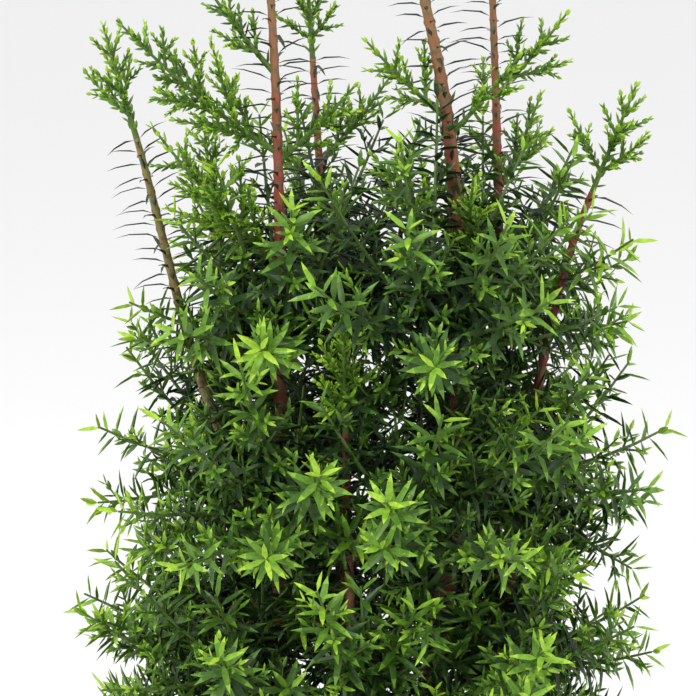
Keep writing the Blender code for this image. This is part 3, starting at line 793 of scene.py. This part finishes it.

# %% Tones by depth, as painted light and shade
# Painted light and shade: leaves near the outline and the tips are dealt pale tones, deep leaves dark ones.
LIGHT_INSIDE, LIGHT_OUTSIDE, LIGHT_AT_TIP, LEAF_LIGHT_SCATTER = 0.02, 0.58, 0.42, 0.05
DARK_DEPTH, DEPTH_SPAN, NARROWEST = 0.35, 0.6, 0.02
depth = off_middle(body_leaves["base"]) / np.maximum(body_radius(body_leaves["base"][:, 2]), NARROWEST)
light = LIGHT_INSIDE + LIGHT_OUTSIDE * np.clip((depth - DARK_DEPTH) / DEPTH_SPAN, 0, 1)
light += LIGHT_AT_TIP * body_leaves["near_tip"] + body_leaves["light"]
light += rng.normal(0, LEAF_LIGHT_SCATTER, len(light))
body_tones = tones_for(light)
print("leaves of each tone:", np.bincount(body_tones))

# %% Body pieces
foliage = sorted(name for name in frame["nodes"] if name.startswith("foliage_"))
behind = body_leaves["base"][:, 1] >= 0
for level in RINGS:
    for side, chosen in (("front", ~behind), ("back", behind)):
        mask = (body_leaves["level"] == level) & chosen
        piece = leaf_piece(f"leaves_{level}_{side}", picked(body_leaves, mask), body_tones[mask])
        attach(piece, "root")
        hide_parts(*[name for name in foliage if name.rsplit("_", 1)[0] == f"foliage_{level}"])
body_twigs = [  # shoots, radius at the root and at the tip, sides, rings, finish
    (shoot_set(stems), 0.0013, 0.0009, 7, 5, BROWN),
    (dense, 0.0008, 0.0003, 5, 6, GREEN),
    (sprigs, 0.00042, 0.0002, 4, 3, GREEN),
]
piece = twig_piece("twigs_body", body_twigs)
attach(piece, "root")
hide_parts(*foliage)

# %% [markdown]
# ## Open sprays
# Above the body, saw-edged green sprays leave the leaders at a slant, and each limb ends in one. Short
# broad leaves lie close to their twigs, so each twig looks toothed. A spray branches twice, and each
# branching is the same step applied to the last set of shoots.

# %% Sprays and limb ends
SPRAYS = {  # limb, height, azimuth, reach, rise above level
    "spray_left_low": ("bough_left", 0.244, 196, 0.042, 42),
    "spray_left_long": ("bough_left", 0.272, 182, 0.046, 32),
    "spray_left_high": ("bough_left", 0.292, 172, 0.026, 48),
    "spray_left_inner": ("bough_left", 0.270, 340, 0.026, 40),
    "spray_middle_low": ("trunk", 0.250, 205, 0.030, 38),
    "spray_middle_high": ("trunk", 0.280, 186, 0.026, 40),
    "spray_front": ("trunk", 0.236, 275, 0.034, 52),
    "spray_middle_right": ("trunk", 0.276, 352, 0.026, 46),
    "spray_right_low": ("bough_right", 0.256, 60, 0.032, 38),
    "spray_right_high": ("bough_right", 0.282, 358, 0.026, 46),
    "spray_back_low": ("bough_back", 0.242, 120, 0.030, 40),
    "spray_back_high": ("bough_back", 0.262, 20, 0.028, 44),
}
TIP_SHOOT, SPRAY_BEND, SPRAY_SINK = 0.030, 4.0, 0.5
BRANCHES = (0.006, 0.0052, 46, 0.62, 0.007, 0.020)  # first, step, angle, share, shortest, longest
TWIGLETS = (0.004, 0.0040, 44, 0.55, 0.005, 0.009)
spray_rows = []
for name, (limb, height, azimuth, reach, rise) in SPRAYS.items():
    centre, thick = at_height(limbs[limb], height)
    flat = heading(azimuth)
    way = flat * math.cos(math.radians(rise)) + UP * math.sin(math.radians(rise))
    spray_rows.append((centre + flat * thick * SPRAY_SINK, way, UP * SPRAY_BEND, reach, name))
for name, (points, _) in limbs.items():
    spray_rows.append((points[-2], unit(points[-1] - points[-8]), UP * 0.0, TIP_SHOOT, f"tip_{name}"))
sprays = shoot_set(spray_rows)
branches = shoot_set(side_sprigs(sprays, *BRANCHES))
twiglets = shoot_set(side_sprigs(branches, *TWIGLETS))
print("spray shoots:", len(sprays["length"]), len(branches["length"]), len(twiglets["length"]))

# %% [markdown]
# ## Old leaves on the leaders
# Between the sprays the leaders carry thin dark leaves that arch outwards like ribs. They stand in
# pairs along the limb's own middle line, so they are read off it at even steps.

# %% Leader leaves
BARE_FROM, OLD_STEP = 0.165, 0.0016
OLD_LENGTH, OLD_WIDTH, OLD_CURVE, OLD_SPREAD = 0.0092, 0.0012, 0.46, 58
OLD_LENGTHS, OLD_WIDTHS, OLD_CURVES = (0.7, 1.15), (0.8, 1.2), (0.6, 1.5)
OLD_TURN, OLD_OPENING, OLD_KEPT, OLD_SINK = 0.2, 9, 0.92, 0.7
OLD_LIGHT = -9.0  # a light that no growing leaf has, so that old leaves can be told apart


def limb_stations(points, radii):
    """Place, tangent, radius and number of each pair on one limb, interpolated at even runs above a
    height."""
    arc = run_along(points)
    tangents = unit(np.gradient(points, axis=0))
    run = np.arange(np.interp(BARE_FROM, points[:, 2], arc), arc[-1], OLD_STEP)
    both = np.hstack((points, tangents))
    both = np.stack([np.interp(run, arc, column) for column in both.T], 1)
    return both[:, :3], unit(both[:, 3:]), np.interp(run, arc, radii), np.arange(len(run))


stations = [limb_stations(points, radii) for points, radii in limbs.values()]
place, tangent, thick, number = (np.repeat(np.concatenate(values), 2, 0) for values in zip(*stations))
level_side = unit(np.cross(tangent, (0.0, 1.0, 0.0)))
over_side = np.cross(tangent, level_side)
count = len(place)
turn = np.tile((0, np.pi), count // 2) + (number % 2) * np.pi / 2 + rng.normal(0, OLD_TURN, count)
out = swung(turn, level_side, over_side)
along = opened(OLD_SPREAD + rng.normal(0, OLD_OPENING, count), out, tangent)
across = unit(np.cross(along, tangent))
old_leaves = {
    "base": place + out * thick[:, None] * OLD_SINK,
    "along": along,
    "across": across,
    "face": np.cross(across, along),
    "length": OLD_LENGTH * rng.uniform(*OLD_LENGTHS, count),
    "width": OLD_WIDTH * rng.uniform(*OLD_WIDTHS, count),
    "curve": OLD_CURVE * rng.uniform(*OLD_CURVES, count),
    "near_tip": np.zeros(count),
    "light": np.full(count, OLD_LIGHT),
    "level": np.full(count, "leader"),
}
old_leaves = picked(old_leaves, rng.uniform(0, 1, count) < OLD_KEPT)
print("old leaves:", len(old_leaves["length"]))

# %% Spray pieces
TOOTH_LEAVES = [  # shoots, first leaf, step, length, width, spread, curve
    (sprays, 0.002, 0.0021, 0.0040, 0.0015, 44, 0.05),
    (branches, 0.0015, 0.0018, 0.0034, 0.0014, 42, 0.04),
    (twiglets, 0.0012, 0.0015, 0.0028, 0.0012, 42, 0.04),
]
# Painted light: the spray leaves above the body are dealt pale tones, paler still near the tips, where the
# pale green is partly also the young leaves' own colour.
SPRAY_LIGHT, SPRAY_LIGHT_AT_TIP = 0.62, 0.35
spray_leaves = joined([leaves_of(*habit) for habit in TOOTH_LEAVES] + [old_leaves])
light = SPRAY_LIGHT + SPRAY_LIGHT_AT_TIP * spray_leaves["near_tip"] + spray_leaves["light"]
spray_tones = np.where(light < OLD_LIGHT / 2, OLD, tones_for(light))
piece = leaf_piece("leaves_sprays", spray_leaves, spray_tones)
open_nodes = sorted(name for name in frame["nodes"] if name.startswith(("spray_", "tip_")))
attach(piece, "root")
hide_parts(*open_nodes)
spray_twigs = [  # shoots, radius at the root and at the tip, sides, rings, finish
    (sprays, 0.0008, 0.0003, 6, 8, GREEN),
    (branches, 0.0005, 0.00025, 5, 4, GREEN),
    (twiglets, 0.0003, 0.00018, 4, 3, GREEN),
]
piece = twig_piece("twigs_sprays", spray_twigs)
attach(piece, "root")
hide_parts(*open_nodes)

# %% [markdown]
# ## Floor, light and camera
# A pale floor and a bright even sky show the open top clearly. A soft key lamp at the upper left gives
# the leaves their gloss, and a weaker one at the right fills the shadows. The camera looks down a
# little from the front.

# %% Floor
FLOOR_HALF, FLOOR_GREY, FLOOR_ROUGHNESS = 15.0, 0.86, 0.9
floor_corners = [(x * FLOOR_HALF, y * FLOOR_HALF, 0) for x, y in ((-1, -1), (1, -1), (1, 1), (-1, 1))]
floor_mesh = bpy.data.meshes.new("floor")
floor_mesh.from_pydata(floor_corners, [], [(0, 1, 2, 3)])
floor = bpy.data.objects.new("floor", floor_mesh)
bpy.context.scene.collection.objects.link(floor)
floor_material, _ = new_material("floor_pale", (FLOOR_GREY,) * 3, FLOOR_ROUGHNESS)
floor_mesh.materials.append(floor_material)
print("floor:", 2 * FLOOR_HALF, "m wide")

# %% Light
TARGET = np.array((-0.0044, -0.010, 0.221))  # the middle of the picture
LAMPS = {"key": ((-0.5, -0.7, 1.1), 0.5, 9.0), "fill": ((0.8, -0.6, 0.5), 0.8, 2.5)}  # place, width, power
world = bpy.data.worlds.new("sky")
bpy.context.scene.world = world
world.use_nodes = True
world.node_tree.nodes["Background"].inputs["Color"].default_value = (1, 1, 1, 1)
world.node_tree.nodes["Background"].inputs["Strength"].default_value = 1.0


def lamp(name, place, width, power):
    """A square area lamp turned to the target: its pitch and heading are the arctangents of the way's
    parts."""
    data = bpy.data.lights.new(name, "AREA")
    data.size, data.energy = width, power
    obj = bpy.data.objects.new(name, data)
    obj.location = place
    way = TARGET - np.array(place)
    pitch = math.atan2(math.hypot(way[0], way[1]), -way[2])
    obj.rotation_euler = (pitch, 0, math.atan2(way[1], way[0]) - math.pi / 2)
    bpy.context.scene.collection.objects.link(obj)


for name, (place, width, power) in LAMPS.items():
    lamp(name, place, width, power)
print("lamps:", len(LAMPS))

# %% Camera
ELEVATION, DISTANCE, PICTURE_HEIGHT, SENSOR = 12.0, 0.62, 0.178, 36
camera_data = bpy.data.cameras.new("camera")
camera_data.lens = SENSOR * DISTANCE / PICTURE_HEIGHT
camera_data.clip_start = 0.01
camera = bpy.data.objects.new("camera", camera_data)
lean = math.radians(ELEVATION)
camera.location = TARGET + DISTANCE * np.array((0, -math.cos(lean), math.sin(lean)))
camera.rotation_euler = (math.pi / 2 - lean, 0, 0)
bpy.context.scene.collection.objects.link(camera)
bpy.context.scene.camera = camera
bpy.context.scene.view_settings.view_transform = "Standard"
print(f"lens: {camera_data.lens:.0f} mm")
